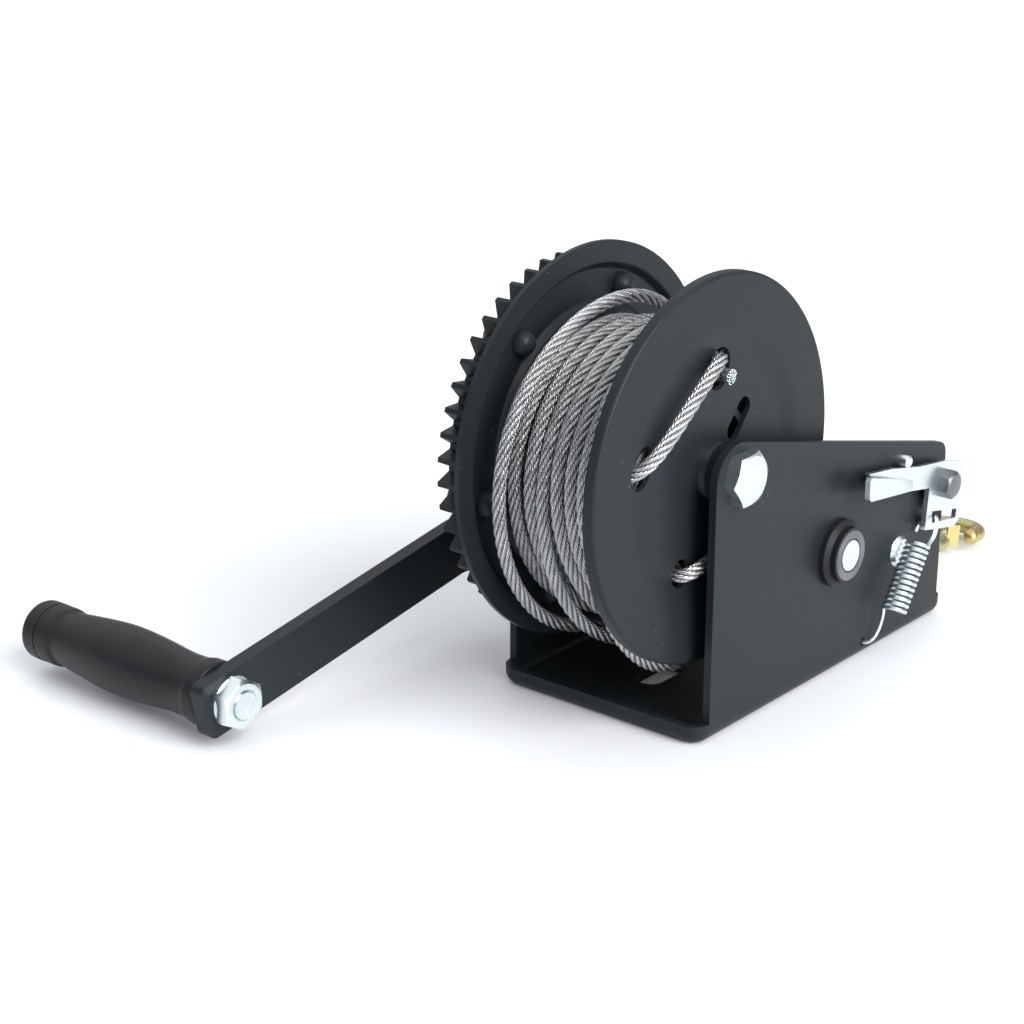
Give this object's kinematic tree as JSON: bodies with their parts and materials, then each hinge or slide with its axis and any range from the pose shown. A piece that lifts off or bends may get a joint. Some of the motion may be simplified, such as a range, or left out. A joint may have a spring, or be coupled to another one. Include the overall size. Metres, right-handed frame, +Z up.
{
  "type": "boat trailer winch",
  "caption": "Hand winch for a boat trailer: folded black frame, geared rope drum, joggled crank with turning grip, sprung pawl lever and a wire rope with a snap hook.",
  "frame": {"origin": "centre of the base plate's underside", "axes": "+X along the drum axle, from the crank towards the pawl lever; +Y along the base, towards the end the rope leaves; +Z up from the base plate"},
  "size_m": [0.2463, 0.3702, 0.169],
  "materials": {
    "black_paint": "satin powder coat",
    "zinc": "bright zinc plate",
    "dark_steel": "dark oiled steel",
    "wire_rope": "galvanised strands",
    "black_plastic": "fine satin",
    "yellow_zinc": "yellow zinc plate",
    "ferrule_alloy": "pressed"
  },
  "bodies": {
    "frame_body": {"frame": "black_paint", "axle_bolt": "zinc", "axle_washer": "zinc", "axle_nut": "zinc", "axle_spacers": "black_paint", "bushing_near": "black_plastic", "bushing_far": "black_plastic", "lever_stop_pin": "zinc", "pawl_stop_rivet": "zinc", "pawl_spring": "zinc", "free_rope": "wire_rope", "rope_eye": "wire_rope", "thimble": "zinc", "rope_ferrule": "ferrule_alloy", "snap_hook": "yellow_zinc", "latch_pin": "zinc"},
    "drum_body": {"drum_hub": "dark_steel", "drum_core": "black_paint", "flange_near": "black_paint", "flange_gear_side": "black_paint", "gear_wheel": "black_paint", "gear_rivets": "black_paint", "rope_winding": "wire_rope", "rope_anchor": "wire_rope"},
    "crank_body": {"drive_spindle": "zinc", "drive_sleeve": "dark_steel", "pinion_gear": "dark_steel", "ratchet_wheel": "dark_steel", "retaining_rings": "dark_steel", "crank_arm": "black_paint", "crank_washer": "zinc", "crank_nut": "zinc", "grip_bolt": "zinc", "grip_washer": "zinc", "grip_nut": "zinc"},
    "grip_body": {"grip": "black_plastic", "grip_end_cap": "black_plastic"},
    "pawl_body": {"pawl_lever": "zinc", "pawl": "dark_steel", "pawl_hub": "dark_steel", "pawl_bolt": "dark_steel", "pawl_washer": "zinc", "pawl_nut": "zinc"},
    "latch_body": {"hook_latch": "yellow_zinc"}
  },
  "joints": [
    {"name": "drum_spin", "type": "hinge", "parent": "frame_body", "child": "drum_body", "pos_m": [0, -0.065, 0.0965], "axis": [1, 0, 0], "continuous": true},
    {"name": "crank_spin", "type": "hinge", "parent": "frame_body", "child": "crank_body", "pos_m": [0, 0.0012, 0.0496], "axis": [1, 0, 0], "continuous": true},
    {"name": "grip_spin", "type": "hinge", "parent": "crank_body", "child": "grip_body", "pos_m": [-0.13, -0.1866, 0.01648], "axis": [1, 0, 0], "continuous": true},
    {"name": "pawl_lever", "type": "hinge", "parent": "frame_body", "child": "pawl_body", "pos_m": [0.0445, 0.0712, 0.0594], "axis": [1, 0, 0], "range_deg": [0, 8], "stiffness_Nm_per_rad": 0.3, "springref_deg": -17.19, "deforming": ["pawl_spring"]},
    {"name": "hook_latch", "type": "hinge", "parent": "frame_body", "child": "latch_body", "pos_m": [0.0102, 0.14048, 0.00871], "axis": [0, 0.1305, 0.9914], "range_deg": [0, 45], "stiffness_Nm_per_rad": 0.002, "springref_deg": -17.19}
  ],
  "couplings": [
    {"joint": "crank_spin", "follows": "drum_spin", "ratio": -4}
  ]
}
